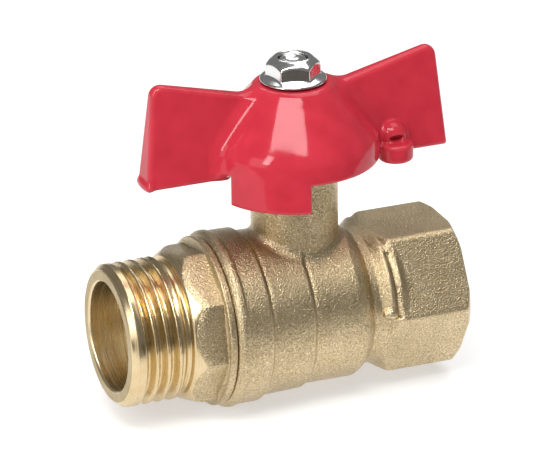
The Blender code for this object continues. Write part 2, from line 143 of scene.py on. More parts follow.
def thread_depth(phase, flat):
    """0 on the crest and 1 in the root; flat is the crest's and the root's share of a turn."""
    ramp = 0.5 - flat
    near = np.abs(phase - 0.5) * 2
    return np.clip((near / 2 - flat / 2) / ramp, 0, 1)


# --- meshes from fields -----------------------------------------------------------------------------


def sampled(field, low, counts, step):
    """The field on a grid. Blocks far from the surface keep the value of their middle."""
    block = 16
    values = np.empty(counts, np.float32)
    for corner in np.ndindex(*[-(-int(c) // block) for c in counts]):
        start = np.array(corner) * block
        stop = np.minimum(start + block, counts)
        axes = [low[i] + step * np.arange(start[i], stop[i]) for i in range(3)]
        middle = [np.array([(a[0] + a[-1]) / 2]) for a in axes]
        inside = tuple(slice(a, b) for a, b in zip(start, stop))
        near = float(field(*middle)[0])
        if abs(near) > 1.3 * block * step:
            values[inside] = near
        else:
            x, y, z = axes
            values[inside] = field(x[:, None, None], y[None, :, None], z[None, None, :])
    return values


def surface_net(values, low, step):
    """Points and four-sided faces of the surface where the grid's values change sign."""
    inside = values < 0
    filled = np.zeros([n - 1 for n in values.shape], np.int8)
    for i, j, k in np.ndindex(2, 2, 2):
        filled += inside[i:i + filled.shape[0], j:j + filled.shape[1], k:k + filled.shape[2]]
    mixed = (filled > 0) & (filled < 8)
    cells = np.argwhere(mixed)
    number = np.full(mixed.shape, -1, np.int64)
    number[mixed] = np.arange(len(cells))
    total = np.zeros((len(cells), 3))
    hits = np.zeros(len(cells))
    for axis in range(3):
        u, v = (axis + 1) % 3, (axis + 2) % 3
        for du, dv in np.ndindex(2, 2):
            start = cells.copy()
            start[:, u] += du
            start[:, v] += dv
            end = start.copy()
            end[:, axis] += 1
            a, b = values[tuple(start.T)].astype(float), values[tuple(end.T)].astype(float)
            cross = (a < 0) != (b < 0)
            place = start[cross].astype(float)
            place[:, axis] += a[cross] / (a[cross] - b[cross])
            total[cross] += place
            hits[cross] += 1
    points = np.array(low) + step * total / hits[:, None]
    faces = []
    for axis in range(3):
        u, v = (axis + 1) % 3, (axis + 2) % 3
        here = np.take(inside, range(inside.shape[axis] - 1), axis)
        after = np.take(inside, range(1, inside.shape[axis]), axis)
        edges = np.argwhere(here != after)
        outward = here[tuple(edges.T)]
        around = []
        for du, dv in ((0, 0), (-1, 0), (-1, -1), (0, -1)):
            cell = edges.copy()
            cell[:, u] += du
            cell[:, v] += dv
            around.append(number[tuple(cell.T)])
        quads = np.stack(around, 1)
        faces += [quads[outward], quads[~outward][:, ::-1]]
    return points, np.concatenate(faces)


def settled(points, field, step):
    """The points moved onto the surface itself."""
    e = step * 0.2
    for _ in range(3):
        x, y, z = points.T
        slope = np.stack([
            field(x + e, y, z) - field(x - e, y, z),
            field(x, y + e, z) - field(x, y - e, z),
            field(x, y, z + e) - field(x, y, z - e),
        ], 1) / (2 * e)
        size = np.maximum((slope ** 2).sum(1), 0.05)
        move = -slope * (field(x, y, z) / size)[:, None]
        length = np.linalg.norm(move, axis=1)
        move *= np.minimum(1, 0.6 * step / np.maximum(length, 1e-9))[:, None]
        points = points + move
    return points


def mesh_object(name, points, faces):
    """A smooth-shaded object from points in millimetres round the ball centre."""
    mesh = bpy.data.meshes.new(name)
    world = points * MM + np.array(CENTRE)
    mesh.from_pydata(world.tolist(), [], [tuple(face) for face in faces.tolist()])
    mesh.validate()
    mesh.shade_smooth()
    made = bpy.data.objects.new(name, mesh)
    bpy.context.scene.collection.objects.link(made)
    return made


def store_edge_bend(obj, points, field):
    """Stores how sharply the surface bends outwards, for the lighter edges in the materials: rubbed edges
    with a painted highlight along the brass ridges.
    """
    x, y, z = points.T
    reach = EDGE_REACH
    steps = ((reach, 0, 0), (-reach, 0, 0), (0, reach, 0), (0, -reach, 0), (0, 0, reach), (0, 0, -reach))
    around = sum(field(x + dx, y + dy, z + dz) for dx, dy, dz in steps)
    bend = (around - 6 * field(x, y, z)) / reach
    attribute = obj.data.attributes.new("edge", "FLOAT", "POINT")
    attribute.data.foreach_set("value", np.clip(bend, -2, 2).astype(np.float32))


def skin(name, field, low, high, step):
    """An object round the solid of a field that lies between two corners."""
    step *= FINE
    low = np.array(low) - 2.3 * step
    counts = np.ceil((np.array(high) + 2.3 * step - low) / step).astype(int) + 1
    points, faces = surface_net(sampled(field, low, counts, step), low, step)
    points = settled(points, field, step)
    obj = mesh_object(name, points, faces)
    store_edge_bend(obj, points, field)
    return obj


def turned_loop(name, loop, columns, shape, start=0.0, step=0.1):
    """A closed loop of (x, radius) turned about the pipe axis. shape(x, radius, angle) bends the radius."""
    points = []
    for (x0, r0), (x1, r1) in zip(loop, loop[1:] + loop[:1]):
        pieces = max(1, math.ceil(math.hypot(x1 - x0, r1 - r0) / (step * FINE)))
        points += [(x0 + (x1 - x0) * k / pieces, r0 + (r1 - r0) * k / pieces) for k in range(pieces)]
    x = np.array([p[0] for p in points])[:, None]
    r = np.array([p[1] for p in points])[:, None]
    angle = math.radians(start) + math.tau * np.arange(columns)[None, :] / columns
    radius = shape(x, r, angle)
    place = np.stack([x + 0 * angle, radius * -np.cos(angle), radius * np.sin(angle)], 2).reshape(-1, 3)
    rows = len(points)
    row, column = np.meshgrid(np.arange(rows), np.arange(columns), indexing="ij")
    after, beside = (row + 1) % rows, (column + 1) % columns
    faces = np.stack([row * columns + column, after * columns + column,
                      after * columns + beside, row * columns + beside], 2).reshape(-1, 4)
    return mesh_object(name, place, faces)


# --- valve body -------------------------------------------------------------------------------------

HEX_ACROSS = 21.0
HEX_CORNER_R = HEX_ACROSS / 2 / math.cos(math.pi / 6)
FEMALE_LENGTH = 12.0
HEX_START_X = FEMALE_FACE_X - FEMALE_LENGTH
HEX_EDGE_R = 1.1
RIB_TOP_Z = 10.7  # the rib beside the hexagon ends here, under the neck
SEAT_FRONT_X, SEAT_BACK_X = seat_low.x, seat_high.x
NECK_R = 6.36
RING_WALL = 2.75
JOINT_BORE_R = RING_R - RING_WALL
CHAMBER_SLACK = 0.55
CHAMBER_R = BALL_R + CHAMBER_SLACK
POCKET_R = seat_high.y + GAP
BALL_WALL = 3.75
PASSAGE_R = BALL_R - BALL_WALL + GAP
STEM_BORE_R = 3.55
FOOT_POCKET_R = STEM_BORE_R + 1.45
FEMALE_MINOR_R = 7.45
FEMALE_THREAD_DEPTH = 0.85
FEMALE_PITCH = 1.337
STOP_R, STOP_LOW, STOP_HIGH = 10.5, 24.0, 26.0
SKIRT_PATH = (-162, -8)  # degrees about the stem, from the front, where the stop is cut away
NUB_R = 0.9

shared_bands = [
    (RIM_X, RING_R - 0.65),
    (RIM_X + 0.75, RING_R - 0.02),
    (RIM_X + 1.5, RING_R),
    (RIM_X + 1.75, RING_R - 0.2),
    (RIM_X + 5.3, RING_R - 0.25),
    (RIM_X + 5.75, RING_R - 0.95),
    (RIM_X + 6.3, RING_R - 0.85),
    (RIM_X + 12.1, RING_R - 1.0),
    (RIM_X + 12.6, RING_R - 1.6),
    (RIM_X + 13.1, RING_R - 1.47),
]
# The halves of the forging differ beside the hexagon: the upper sides have a rib, and the belly is plain.
upper_bands = outline(shared_bands + [
    (SEAT_BACK_X - 2.4, RING_R - 1.43),
    (SEAT_BACK_X - 1.2, RING_R - 1.85),
    (SEAT_BACK_X - 0.1, RING_R - 2.7),
    (HEX_START_X - 1.7, RING_R - 2.75),
    (HEX_START_X - 0.5, RING_R - 1.65),
    (HEX_START_X - 0.15, RING_R - 1.65),
    (HEX_START_X + 0.55, RING_R - 2.2),
    (HEX_START_X + 1.25, RING_R - 1.85),
    (HEX_START_X + 1.5, RING_R - 1.85),
    (HEX_START_X + 2.4, RING_R - 2.75),
    (HEX_START_X + 4.0, RING_R - 3.0),
], 0.2)
lower_bands = outline(shared_bands + [
    (SEAT_BACK_X - 1.9, RING_R - 1.43),
    (SEAT_BACK_X - 1.2, RING_R - 1.75),
    (SEAT_BACK_X + 0.1, RING_R - 2.85),
    (HEX_START_X + 2.0, RING_R - 2.95),
], 0.3)

body_hollow = outline([
    (RIM_X, JOINT_BORE_R),
    (SPIGOT_END_X + GAP, JOINT_BORE_R),
    (SPIGOT_END_X + GAP + 0.01, CHAMBER_R),
    (SEAT_FRONT_X - 0.4, CHAMBER_R),
    (SEAT_FRONT_X - 0.39, POCKET_R),
    (SEAT_BACK_X + GAP, POCKET_R),
    (SEAT_BACK_X + GAP + 0.01, PASSAGE_R),
    (HEX_START_X + 2.0, PASSAGE_R),
    (HEX_START_X + 2.6, FEMALE_MINOR_R + FEMALE_THREAD_DEPTH + 0.1),
    (HEX_START_X + 4.0, FEMALE_MINOR_R + FEMALE_THREAD_DEPTH + 0.1),
    (HEX_START_X + 4.6, FEMALE_MINOR_R),
    (FEMALE_FACE_X - 1.3, FEMALE_MINOR_R),
    (FEMALE_FACE_X, FEMALE_MINOR_R + FEMALE_THREAD_DEPTH + 0.45),
], 0.05)


def inside_the_body(x, y, z):
    """The bores: along the pipe, with the female thread, and up the neck."""
    around = np.hypot(y, z)
    threaded = np.clip(np.minimum(x - HEX_START_X - 4.6, FEMALE_FACE_X - 0.5 - x) / 0.5, 0, 1)
    groove = 1 - thread_depth(helix(x, np.arctan2(z, -y), FEMALE_FACE_X, FEMALE_PITCH), 0.14)
    pipe = body_hollow(x, around) - FEMALE_THREAD_DEPTH * threaded * groove
    off = np.hypot(x, y)
    stem_bore = off - STEM_BORE_R
    foot = np.maximum(off - FOOT_POCKET_R, z - (washer_high.z + GAP))
    packing = np.maximum(off - (packing_high.y + GAP), packing_low.z - GAP - z)
    neck = np.maximum(np.minimum(np.minimum(stem_bore, foot), packing), BALL_R - 3 - z)
    return np.minimum(pipe, neck)


def bands_field(x, y, z, above):
    """The round bands of the forging; above is 1 on the upper sides, which have the rib, and 0 elsewhere."""
    around = np.hypot(y, z)
    bands = lower_bands(x, around) * (1 - above) + upper_bands(x, around) * above
    bands = round_cut(bands, RIM_X - x, 0.3)
    return np.maximum(bands, x - HEX_START_X - 3.4)


def hexagon_field(x, y, z, above):
    """The female end, chamfered at its face and sloping back towards the bands at its inner end."""
    around = np.hypot(y, z)
    flats = prism_sides(-y, z, HEX_ACROSS, 6, 0, HEX_EDGE_R)
    free_end = (x - FEMALE_FACE_X) * 0.82 + (around - (HEX_ACROSS / 2 + 0.35)) * 0.57
    inner_end = (HEX_START_X + 1.0 - x) * 0.72 + (around - HEX_CORNER_R) * 0.69
    upper_side = above * np.clip(np.abs(y) - 6, 0, 1)
    inner_end = np.maximum(inner_end, HEX_START_X + 0.8 - x - 3 * (1 - upper_side))
    hexagon = round_cut(flats, np.maximum(free_end, x - FEMALE_FACE_X), 0.12)
    return round_cut(hexagon, inner_end, 0.4)


def nub_field(x, y, z):
    """A small nub on each side, at the foot of the rib."""
    along, out = (x - HEX_START_X + 0.6) / 1.3, np.abs(y) - RING_R + 2.35
    nub = np.sqrt(along ** 2 + out ** 2 + (z - 0.9) ** 2) - NUB_R
    return round_cut(nub, 0.5 - z, 0.15)


def neck_field(x, y, z):
    """The neck, and near its top the stop that the skirt of the handle meets."""
    off = np.hypot(x, y)
    neck = np.maximum(round_cut(off - NECK_R, z - NECK_TOP_Z, 0.2), 4 - z)
    stop_middle, stop_half = (STOP_LOW + STOP_HIGH) / 2, (STOP_HIGH - STOP_LOW) / 2
    stop = round_cut(off - STOP_R, np.abs(z - stop_middle) - stop_half, 0.3)
    stop = round_cut(stop, -wedge(x, y, *SKIRT_PATH), 0.3)
    return np.minimum(neck, stop)


def body_field(x, y, z):
    above = np.clip(z / 0.7 + 0.5, 0, 1) * np.clip(RIB_TOP_Z - z, 0, 1)
    body = round_join(bands_field(x, y, z, above), hexagon_field(x, y, z, above), 0.55)
    body = round_join(body, nub_field(x, y, z), 0.3)
    body = round_join(body, neck_field(x, y, z), 1.1)
    return round_cut(body, -inside_the_body(x, y, z), 0.08)


valve_body = skin("forged_body", body_field, (RIM_X, -RING_R, -RING_R),
                  (FEMALE_FACE_X, RING_R, NECK_TOP_Z), 0.17)
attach(valve_body, "housing")
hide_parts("valve_body")


# --- end connector ----------------------------------------------------------------------------------

COLLAR_ACROSS = 21.9
COLLAR_TURN = -11.3  # degrees: one corner is this far below the front
COLLAR_START_X = RIM_X - 6.0
FLANGE_X, FLANGE_BACK_X = RIM_X - 1.2, RIM_X - 0.1
FLANGE_R = JOINT_BORE_R + 2.15
CREST_R = 10.48
THREAD_DEPTH = 1.16
PITCH = 1.814
ROOT_R = CREST_R - THREAD_DEPTH
MALE_BORE_R = 8.03
SPIGOT_R = JOINT_BORE_R - GAP
RING_GROOVE_X = RIM_X + 1.8
THREAD_FROM, THREAD_TO = MALE_FACE_X + 1.0, COLLAR_START_X - 1.5
CHATTER_DEPTH, CHATTER_MARKS = 0.009, 46  # the tool's marks on the thread, and how many to a turn


def connector_shape(x, radius, angle):
    """Adds the helical thread and cuts the collar to eight flats."""
    flats = math.tau / 8
    turn = angle - math.radians(COLLAR_TURN) - flats / 2
    turn = turn - flats * np.round(turn / flats)
    apothem = COLLAR_ACROSS / 2
    octagon = np.minimum(apothem / np.cos(turn), apothem / math.cos(flats / 2) - 0.06)
    collar = (x > COLLAR_START_X - 0.4) & (x < FLANGE_X - 0.02) & (radius > ROOT_R + 0.31)
    blend = np.maximum(0.6 - np.abs(radius - octagon), 0) ** 2 / 2.4
    radius = np.where(collar, np.minimum(radius, octagon) - blend, radius)
    threaded = (radius > ROOT_R + 0.2) & (x > THREAD_FROM) & (x < THREAD_TO)
    phase = helix(x, angle, THREAD_FROM, PITCH)
    depth = thread_depth(phase, 0.16) * THREAD_DEPTH
    start = np.clip(((x - THREAD_FROM) / PITCH - 0.45) / 0.35, 0, 1)
    turn_number = np.floor((x - THREAD_FROM) / PITCH + angle / math.tau)
    chatter = CHATTER_DEPTH * np.cos(CHATTER_MARKS * angle + 2.1 * turn_number)
    return np.where(threaded & (radius > 9), radius - depth * start + chatter * start, radius)


connector_loop = [
    (MALE_FACE_X, MALE_BORE_R + 0.25),
    (MALE_FACE_X, 9.55),
    (MALE_FACE_X + 0.12, 9.78),
    (MALE_FACE_X + 0.95, CREST_R),
    (THREAD_TO, CREST_R),
    (THREAD_TO + 0.15, CREST_R - 0.1),
    (THREAD_TO + 0.55, ROOT_R + 0.35),
    (THREAD_TO + 0.75, ROOT_R + 0.25),
    (COLLAR_START_X - 0.3, ROOT_R + 0.25),
    (COLLAR_START_X - 0.1, ROOT_R + 0.4),
    (COLLAR_START_X, ROOT_R + 1.0),
    (COLLAR_START_X + 0.2, ROOT_R + 1.25),
    (COLLAR_START_X + 2.7, COLLAR_ACROSS / 2 + 1.2),
    (FLANGE_X - 0.1, COLLAR_ACROSS / 2 + 1.2),
    (FLANGE_X - 0.03, FLANGE_R - 0.3),
    (FLANGE_X, FLANGE_R - 0.3),
    (FLANGE_X + 0.07, FLANGE_R - 0.1),
    (FLANGE_X + 0.22, FLANGE_R),
    (FLANGE_BACK_X - 0.12, FLANGE_R),
    (FLANGE_BACK_X, FLANGE_R - 0.12),
    (FLANGE_BACK_X, ROOT_R + 0.4),
    (FLANGE_BACK_X, SPIGOT_R - 0.2),
    (RING_GROOVE_X - 1.3, SPIGOT_R),
    (RING_GROOVE_X - 0.9, SPIGOT_R),
    (RING_GROOVE_X - 0.9, SPIGOT_R - 1.1),
    (RING_GROOVE_X + 0.9, SPIGOT_R - 1.1),
    (RING_GROOVE_X + 0.9, SPIGOT_R),
    (SPIGOT_END_X, SPIGOT_R),
    (SPIGOT_END_X, POCKET_R),
    (-SEAT_BACK_X - GAP, POCKET_R),
    (-SEAT_BACK_X - GAP, PASSAGE_R),
    (COLLAR_START_X + 4.4, PASSAGE_R),
    (COLLAR_START_X + 1.8, MALE_BORE_R),
    (MALE_FACE_X + 0.25, MALE_BORE_R),
]
COLUMNS = 320
end_connector = turned_loop("threaded_end", connector_loop, COLUMNS, connector_shape, COLLAR_TURN)
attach(end_connector, "housing")
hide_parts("end_connector")


# --- handle -----------------------------------------------------------------------------------------

HUB_R = handle_high.y
SKIRT_Z = handle_low.z
SKIRT_DEPTH = 4.3
HUB_RIM_Z = SKIRT_Z + SKIRT_DEPTH
HUB_TOP_Z = nut_low.z - GAP
HUB_CROWN_R = nut_high.y + 0.35
HUB_WALL = 1.36
HUB_HOLLOW_R = HUB_R - HUB_WALL
HUB_HOLLOW_Z = NECK_TOP_Z + 0.5
HUB_STEP_R = 6.2
HUB_STEP_Z = gland_high.z + 0.5
SKIRT_WALL = 3.56
SKIRT_INNER_R = HUB_R - SKIRT_WALL
SKIRT_FROM, SKIRT_TO = -70.0, -10.0  # degrees about the stem, from the front
FLATS_ACROSS = 4.4
WING_TIP_X = handle_high.x
WING_TOP_Z = handle_high.z
WING_FLOOR_Z = HUB_RIM_Z - 1.2
LUG_X, LUG_Y, LUG_R = HUB_R + 2.14, -3.3, 2.6
LUG_LOW, LUG_HIGH = HUB_RIM_Z - 1.6, HUB_RIM_Z + 1.1

lean = HUB_R - HUB_CROWN_R
hub_dome = outline([
    (SKIRT_Z - 1, HUB_R),
    (HUB_RIM_Z + 2.1, HUB_R),
    (HUB_RIM_Z + 3.5, HUB_R - 0.04 * lean),
    (HUB_TOP_Z - 6.5, HUB_R - 0.20 * lean),
    (HUB_TOP_Z - 4.3, HUB_R - 0.44 * lean),
    (HUB_TOP_Z - 2.1, HUB_R - 0.69 * lean),
    (HUB_TOP_Z - 0.6, HUB_R - 0.88 * lean),
    (HUB_TOP_Z + 0.3, HUB_R - 0.97 * lean),
], 1.5)


def wing_field(x, y, z):
    """Both wings: plates along the pipe, thin along the sloping top edge and thick along the bottom."""
    reach = np.abs(x)
    end = (reach - WING_TIP_X) * 0.9957 + (z - WING_FLOOR_Z) * 0.0925
    top = (z - WING_TOP_Z) * 0.97 - (reach - (WING_TIP_X - 2.2)) * 0.243
    plan = round_cut(round_cut(end, top, 1.9), WING_FLOOR_Z - z, 0.5)
    share = np.clip((WING_TOP_Z - z) / (WING_TOP_Z - WING_FLOOR_Z), 0, 1.1)
    faces = (np.abs(y) - (0.85 + 1.45 * share)) * 0.995
    return round_cut(plan, faces, 0.7)


def foot_field(x, y, z):
    """The small flared foot at the outer lower corner of the left wing."""
    return np.sqrt((x + WING_TIP_X - 0.4) ** 2 + (y / 3) ** 2 + (z - WING_FLOOR_Z - 0.45) ** 2) - 0.7


def lug_field(x, y, z):
    """A round boss in front of the right wing, with a half dome behind it and a shallow dish on top."""
    across, deep, high = x - LUG_X, y - LUG_Y, z - LUG_HIGH
    boss = round_cut(np.hypot(across, deep) - LUG_R, np.maximum(high, LUG_LOW - z), 0.55)
    rise = np.maximum(high - 0.4, 0) * 0.95
    dome = np.sqrt(across ** 2 + (deep - 1.5) ** 2 + rise ** 2) - 2.3
    dome = np.maximum(dome, LUG_HIGH - 2 - z)
    dish = np.sqrt((across * 0.75) ** 2 + (deep + 0.4) ** 2 + ((high - 0.6) * 1.6) ** 2) - 0.75
    return round_cut(round_join(boss, dome, 0.3), -dish, 0.35)


def handle_field(x, y, z):
    off = np.hypot(x, y)
    skirt = np.maximum(SKIRT_Z - z, wedge(x, y, SKIRT_FROM, SKIRT_TO))
    hub = round_cut(hub_dome(z, off), z - HUB_TOP_Z, 0.5)
    hub = round_cut(hub, np.minimum(HUB_RIM_Z - z, skirt), 0.5)
    wings = round_join(wing_field(x, y, z), foot_field(x, y, z), 0.6)
    solid = round_join(round_join(hub, wings, 2.0), lug_field(x, y, z), 0.45)
    bell = np.maximum(off - SKIRT_INNER_R, z - HUB_HOLLOW_Z)
    step = np.maximum(off - HUB_STEP_R, z - HUB_STEP_Z)
    sweep = np.maximum(np.maximum(off - HUB_HOLLOW_R, z - HUB_HOLLOW_Z + 0.2),
                       -wedge(x, y, SKIRT_FROM, SKIRT_TO))
    hollow = np.minimum(np.minimum(bell, step), sweep)
    hole = np.maximum(off - STEM_BORE_R, np.abs(y) - FLATS_ACROSS / 2 - GAP)
    return round_cut(round_cut(solid, -hollow, 0.35), -hole, 0.2)


handle = skin("butterfly_handle", handle_field, (-WING_TIP_X - 0.4, -HUB_R, SKIRT_Z),
              (WING_TIP_X, HUB_R, WING_TOP_Z), 0.17)
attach(handle, "lever")
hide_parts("handle")


# --- handle nut and stem ----------------------------------------------------------------------------

NUT_Z, NUT_TOP_Z = nut_low.z, nut_high.z
NUT_FLANGE_R = nut_high.y
NUT_ACROSS = 7.0
NUT_TURN = 12.3  # degrees that one corner is turned from the front
STEM_THREAD_R = 2.0


def nut_field(x, y, z):
    off = np.hypot(x, y)
    sides = prism_sides(x, y, NUT_ACROSS, 6, NUT_TURN - 90, 0.35)
    crown = (z - NUT_TOP_Z) * 0.76 + (off - (NUT_ACROSS / 2 - 0.85)) * 0.65
    head = round_cut(sides, round_cut(crown, z - NUT_TOP_Z, 0.25), 0.25)
    flange = (z - NUT_Z - 0.3) * 0.93 + (off - NUT_FLANGE_R) * 0.37
    flange = round_cut(off - NUT_FLANGE_R, flange, 0.18)
    nut = round_join(np.maximum(head, NUT_Z - z), np.maximum(flange, z - NUT_Z - 1.2), 0.25)
    nut = round_cut(nut, NUT_Z - z, 0.12)
    mouth = np.minimum(off - STEM_THREAD_R - 0.12, (off - STEM_THREAD_R - 0.4 - (z - NUT_TOP_Z)) * 0.7)
    return round_cut(nut, -mouth, 0.12)


handle_nut = skin("flange_nut", nut_field, (-NUT_FLANGE_R, -NUT_FLANGE_R, NUT_Z),
                  (NUT_FLANGE_R, NUT_FLANGE_R, NUT_TOP_Z), 0.07)
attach(handle_nut, "lever")
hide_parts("handle_nut")

STEM_R = STEM_BORE_R - GAP
STEM_TOP_Z = stem_high.z
FOOT_LOW, FOOT_HIGH = washer_low.z - GAP - 1.4, washer_low.z - GAP
TANG_LENGTH, TANG_WIDTH = stem_high.y - stem_low.y, 3.0
STEM_PITCH, STEM_THREAD_DEPTH = 0.7, 0.3
STEM_RINGS = ("stem_o_ring_lower", "stem_o_ring_upper")
ring_zs = [sum(corner.z for corner in span(node)) / 2 for node in STEM_RINGS]
stem_outline = outline([
    (FOOT_LOW, STEM_R + 1.2),
    (FOOT_LOW + 0.2, STEM_R + 1.35),
    (FOOT_HIGH - 0.01, STEM_R + 1.35),
    (FOOT_HIGH, STEM_R),
    (HUB_TOP_Z - 0.5, STEM_R),
    (HUB_TOP_Z - 0.4, STEM_THREAD_R),
    (STEM_TOP_Z - 0.25, STEM_THREAD_R),
    (STEM_TOP_Z, STEM_THREAD_R - 0.25),
], 0.06)


def stem_field(x, y, z):
    """Foot and tang below, two ring grooves, flats for the handle, and a thread with a dished end."""
    off = np.hypot(x, y)
    on_thread = np.clip(np.minimum(z - HUB_TOP_Z + 0.2, STEM_TOP_Z - 0.4 - z) / 0.3, 0, 1)
    groove = thread_depth(helix(z, np.arctan2(y, x), HUB_TOP_Z, STEM_PITCH), 0.14) * on_thread
    shaft = stem_outline(z, off) + STEM_THREAD_DEPTH * groove
    shaft = round_cut(shaft, np.maximum(FOOT_LOW - z, z - STEM_TOP_Z), 0.1)
    for ring_z in ring_zs:
        shaft = round_cut(shaft, -np.maximum(np.abs(z - ring_z) - 0.62, STEM_R - 0.94 - off), 0.08)
    beside = np.minimum(np.abs(y) - FLATS_ACROSS / 2, np.minimum(z - HUB_STEP_Z + 0.2, HUB_TOP_Z - z))
    shaft = np.maximum(shaft, beside)
    tang = np.maximum(np.maximum(np.abs(x) - TANG_WIDTH / 2, off - TANG_LENGTH / 2),
                      np.maximum(stem_low.z - z, z - FOOT_LOW - 0.6))
    stem = round_join(shaft, tang, 0.15)
    dish = np.sqrt(x * x + y * y + (z - STEM_TOP_Z - 2.4) ** 2) - 3.0
    return round_cut(stem, -dish, 0.08)


stem = skin("threaded_stem", stem_field, (-STEM_R - 1.4, -STEM_R - 1.4, stem_low.z),
            (STEM_R + 1.4, STEM_R + 1.4, STEM_TOP_Z), 0.09)
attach(stem, "lever")
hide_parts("stem")


# --- materials --------------------------------------------------------------------------------------


class Paint:
    """One material and the few node patterns that its surface needs."""

    def __init__(self, name, color, metallic, roughness, **constants):
        self.material = bpy.data.materials.new(name)
        self.material.use_nodes = True
        self.tree = self.material.node_tree
        self.shader = self.tree.nodes["Principled BSDF"]
        self.shader.inputs["Base Color"].default_value = (*color, 1)
        self.shader.inputs["Metallic"].default_value = metallic
        self.shader.inputs["Roughness"].default_value = roughness
        for socket, value in constants.items():
            self.shader.inputs[socket.replace("_", " ")].default_value = value
        self.place = self.add("ShaderNodeTexCoord").outputs["Object"]

    def add(self, kind, **settings):
        node = self.tree.nodes.new(kind)
        for name, value in settings.items():
            setattr(node, name, value)
        return node

    def wire(self, source, target):
        if isinstance(source, (int, float)):
            target.default_value = source
        else:
            self.tree.links.new(source, target)

    def math(self, operation, a, b):
        node = self.add("ShaderNodeMath", operation=operation)
        self.wire(a, node.inputs[0])
        self.wire(b, node.inputs[1])
        return node.outputs[0]

    def noise(self, size_mm, detail=3.0, vector=None, rough=0.55):
        """Noise whose grain is about that size."""
        node = self.add("ShaderNodeTexNoise")
        node.inputs["Scale"].default_value = 1000 / size_mm
        node.inputs["Detail"].default_value = detail
        node.inputs["Roughness"].default_value = rough
        self.wire(vector or self.place, node.inputs["Vector"])
        return node.outputs["Fac"]

    def ranged(self, value, low, high, to_low, to_high):
        node = self.add("ShaderNodeMapRange")
        self.wire(value, node.inputs["Value"])
        limits = {"From Min": low, "From Max": high, "To Min": to_low, "To Max": to_high}
        for name, number in limits.items():
            node.inputs[name].default_value = number
        return node.outputs[0]

    def mixed(self, share, first, second):
        node = self.add("ShaderNodeMix", data_type="RGBA")
        self.wire(share, node.inputs["Factor"])
        for source, socket in ((first, node.inputs[6]), (second, node.inputs[7])):
            if isinstance(source, tuple):
                socket.default_value = (*source, 1)
            else:
                self.wire(source, socket)
        return node.outputs[2]

    def edge_sharpness(self):
        """How sharp the surface's outer edge is here, from 0 to 1."""
        edge = self.add("ShaderNodeAttribute", attribute_name="edge").outputs["Fac"]
        return self.ranged(edge, 0.25, 1.1, 0, 1)

    def color(self, source):
        self.wire(source, self.shader.inputs["Base Color"])

    def roughness(self, source):
        self.wire(source, self.shader.inputs["Roughness"])

    def bump(self, height, depth_mm, strength=1.0):
        node = self.add("ShaderNodeBump")
        node.inputs["Distance"].default_value = depth_mm * MM
        node.inputs["Strength"].default_value = strength
        self.wire(height, node.inputs["Height"])
        if self.shader.inputs["Normal"].is_linked:
            self.wire(self.shader.inputs["Normal"].links[0].from_socket, node.inputs["Normal"])
        self.wire(node.outputs[0], self.shader.inputs["Normal"])

    def centred(self):
        """The place, counted from the ball centre, so that turned lines run true about the pipe."""
        node = self.add("ShaderNodeVectorMath", operation="SUBTRACT")
        self.wire(self.place, node.inputs[0])
        node.inputs[1].default_value = tuple(CENTRE)
        return node.outputs[0]

    def tool_lines(self, axis, pitch_mm):
        """Noise that changes only along one axis: the fine rings that a lathe leaves."""
        scale = [0.02, 0.02, 0.02]
        scale["XYZ".index(axis)] = 1.0
        vector = self.add("ShaderNodeMapping")
        vector.inputs["Scale"].default_value = scale
        self.wire(self.centred(), vector.inputs["Vector"])
        return self.noise(pitch_mm, 2.0, vector.outputs[0])


def blasted_brass():
    paint = Paint("blasted_brass", (0.56, 0.45, 0.27), 1.0, 0.4)
    blotch = paint.noise(5.0, 2.0)
    grain = paint.noise(0.23, 2.5, rough=0.6)
    tone = paint.mixed(paint.ranged(blotch, 0.35, 0.65, 0, 1), (0.56, 0.445, 0.265), (0.65, 0.52, 0.32))
    # Dark specks of the grain: painted shade in the pits of the blasting.
    pit_shade = paint.mixed(0.6, tone, (0.24, 0.17, 0.08))
    tone = paint.mixed(paint.ranged(grain, 0.36, 0.52, 0, 1), pit_shade, tone)
    # Light specks of the grain: painted glints on the blasted brass.
    tone = paint.mixed(paint.ranged(grain, 0.53, 0.66, 0, 1), tone, (0.80, 0.66, 0.43))
    # Lighter sharp edges: rubbed edges, and also a painted highlight along the ridges.
    paint.color(paint.mixed(paint.math("MULTIPLY", paint.edge_sharpness(), 0.7), tone, (0.76, 0.63, 0.41)))
    paint.roughness(paint.ranged(grain, 0.35, 0.65, 0.38, 0.25))
    paint.bump(grain, 0.14, 1.0)
    return paint.material


def turned_brass(name, axis="X", dark=(0.67, 0.52, 0.29), light=(0.75, 0.60, 0.37),
                 pitch_mm=0.12, depth_mm=0.014):
    paint = Paint(name, light, 1.0, 0.2)
    lines = paint.tool_lines(axis, pitch_mm)
    paint.color(paint.mixed(paint.ranged(paint.noise(2.5, 2.0), 0.3, 0.7, 0, 1), dark, light))
    paint.roughness(paint.ranged(lines, 0.3, 0.7, 0.18, 0.36))
    paint.bump(lines, depth_mm, 0.8)
    return paint.material


def red_enamel():
    paint = Paint("red_enamel", (0.50, 0.03, 0.048), 0.0, 0.13, Specular_IOR_Level=0.3)
    flow = paint.noise(3.0, 1.0)
    tone = paint.mixed(paint.ranged(flow, 0.3, 0.7, 0, 1), (0.48, 0.025, 0.042), (0.54, 0.031, 0.051))
    # Lighter red on the sharp outer edges.
    paint.color(paint.mixed(paint.math("MULTIPLY", paint.edge_sharpness(), 0.35), tone, (0.62, 0.08, 0.10)))
    paint.roughness(paint.ranged(paint.noise(0.6, 2.0), 0.3, 0.7, 0.07, 0.13))
    paint.bump(flow, 0.03, 0.5)
    paint.bump(paint.noise(0.9, 1.0), 0.006, 0.5)
    return paint.material


def bright_plate(name, color, rough, grain_mm):
    paint = Paint(name, color, 1.0, rough)
    haze = paint.noise(grain_mm, 3.0)
    paint.color(paint.mixed(paint.ranged(haze, 0.35, 0.7, 0, 1), tuple(c * 0.9 for c in color), color))
    paint.roughness(paint.ranged(haze, 0.3, 0.7, rough * 0.8, rough * 1.4))
    paint.bump(haze, 0.006, 0.5)
    return paint.material


